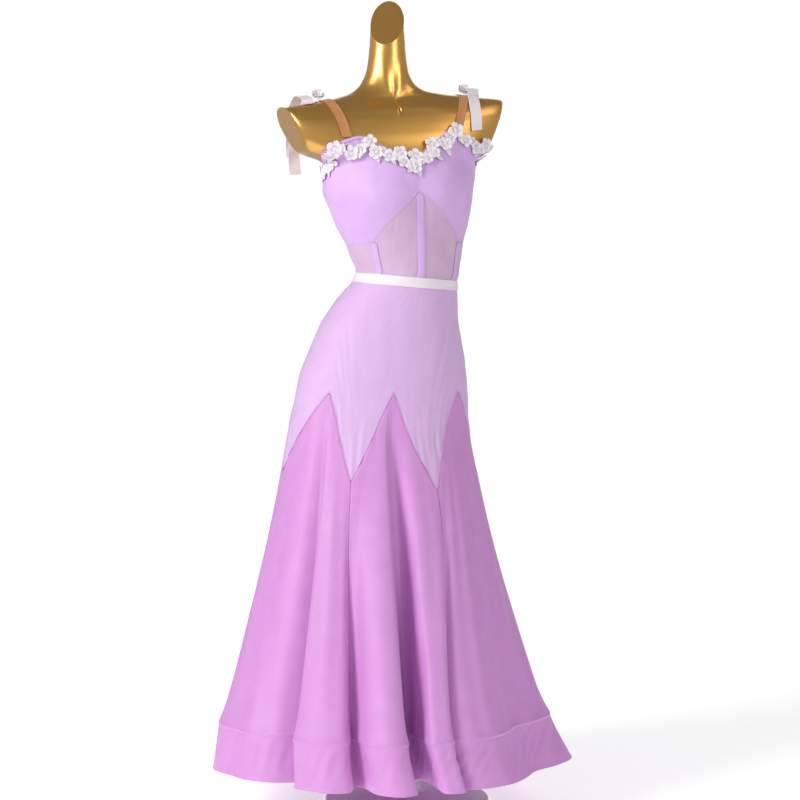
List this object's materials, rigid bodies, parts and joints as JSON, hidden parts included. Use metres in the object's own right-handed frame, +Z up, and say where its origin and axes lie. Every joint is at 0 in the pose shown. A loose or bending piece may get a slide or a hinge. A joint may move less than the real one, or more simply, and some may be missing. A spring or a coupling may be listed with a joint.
{
  "type": "dance dress on a dress form",
  "caption": "Ballroom dance dress with a corset-like bodice, sheer waist panels and a flared paneled skirt, on a limbless dress form with a round base.",
  "frame": {"origin": "centre of the base plate's underside, on the floor under the pole", "axes": "+Z up along the pole, -Y towards the front of the dress, +X towards the wearer's left"},
  "size_m": [0.7014, 0.71, 1.5623],
  "materials": {
    "stretch": "matt lilac stretch cloth",
    "mesh": "sheer pinkish mesh",
    "satin": "soft lilac satin crepe",
    "ribbon": "cream satin",
    "strap": "tan satin",
    "lace": "white corded lace",
    "gold": "glossy gold lacquer",
    "steel": "dull grey steel"
  },
  "bodies": {
    "root": {"bodice_front": "stretch", "bodice_back": "stretch", "mesh_left": "mesh", "mesh_centre": "mesh", "mesh_right": "mesh", "neck_binding": "stretch", "boning_left": "stretch", "boning_centre": "stretch", "boning_right": "stretch", "belt": "ribbon", "yoke_front": "stretch", "yoke_back": "stretch", "godet_1": "satin", "godet_2": "satin", "godet_3": "satin", "godet_4": "satin", "godet_5": "satin", "godet_6": "satin", "hem_band_front": "satin", "hem_band_back": "satin", "lace_front": "lace", "lace_back": "lace", "flower_left": "lace", "flower_right": "lace", "ribbon_right": "ribbon", "ribbon_left_long": "ribbon", "ribbon_left_short": "ribbon", "strap_left": "strap", "strap_right": "strap", "dress_form": "gold", "base_plate": "steel", "pole": "steel"}
  },
  "joints": []
}
